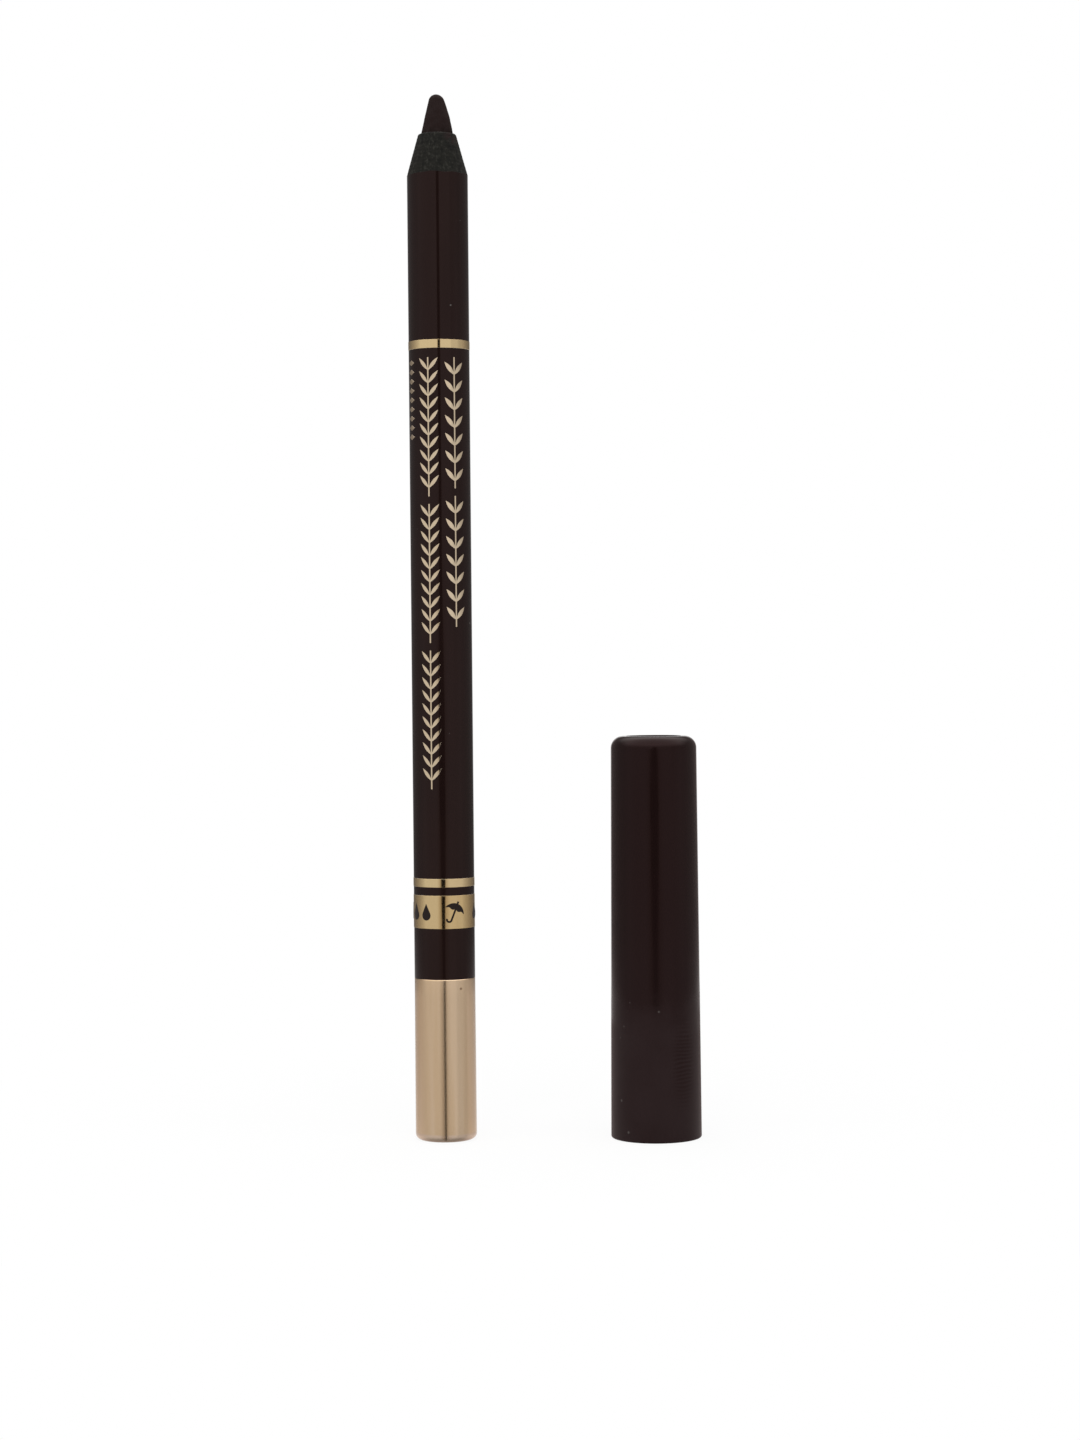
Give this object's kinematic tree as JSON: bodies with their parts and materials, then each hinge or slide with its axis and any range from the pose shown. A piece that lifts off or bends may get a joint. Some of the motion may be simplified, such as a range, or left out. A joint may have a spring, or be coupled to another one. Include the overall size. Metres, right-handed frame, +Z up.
{
  "type": "eyeliner pencil",
  "caption": "Sharpened eyeliner pencil in a dark lacquered casing with gold foil rings and a metal end cup, standing beside its pull-off cap.",
  "frame": {"origin": "centre of the pencil's flat foot, on the surface that the pencil and its cap stand on", "axes": "+Z up along the pencil's axis to its tip, +X from the pencil to the cap beside it, -Y toward the printed front with the umbrella"},
  "size_m": [0.0345, 0.0108, 0.1252],
  "materials": {
    "lacquer": "glossy lacquer on an extruded plastic casing, bare and matt on the sharpened cone",
    "core": "waxy, satin",
    "cup_metal": "champagne gold anodised, satin",
    "foil": "pale gold stamping foil, satin",
    "ink": "dark printed ink",
    "cap_plastic": "glossy moulded",
    "liner_plastic": "soft satin moulded"
  },
  "bodies": {
    "root": {"casing": "lacquer", "core": "core", "end_cup": "cup_metal", "front_ring": "foil", "rear_ring": "foil", "foil_band": "foil", "bold_garland": "foil", "fine_garland": "foil", "lozenge_row": "foil", "umbrella_mark": "ink", "drop_marks": "ink", "cap_shell": "cap_plastic", "cap_liner": "liner_plastic"}
  },
  "joints": []
}
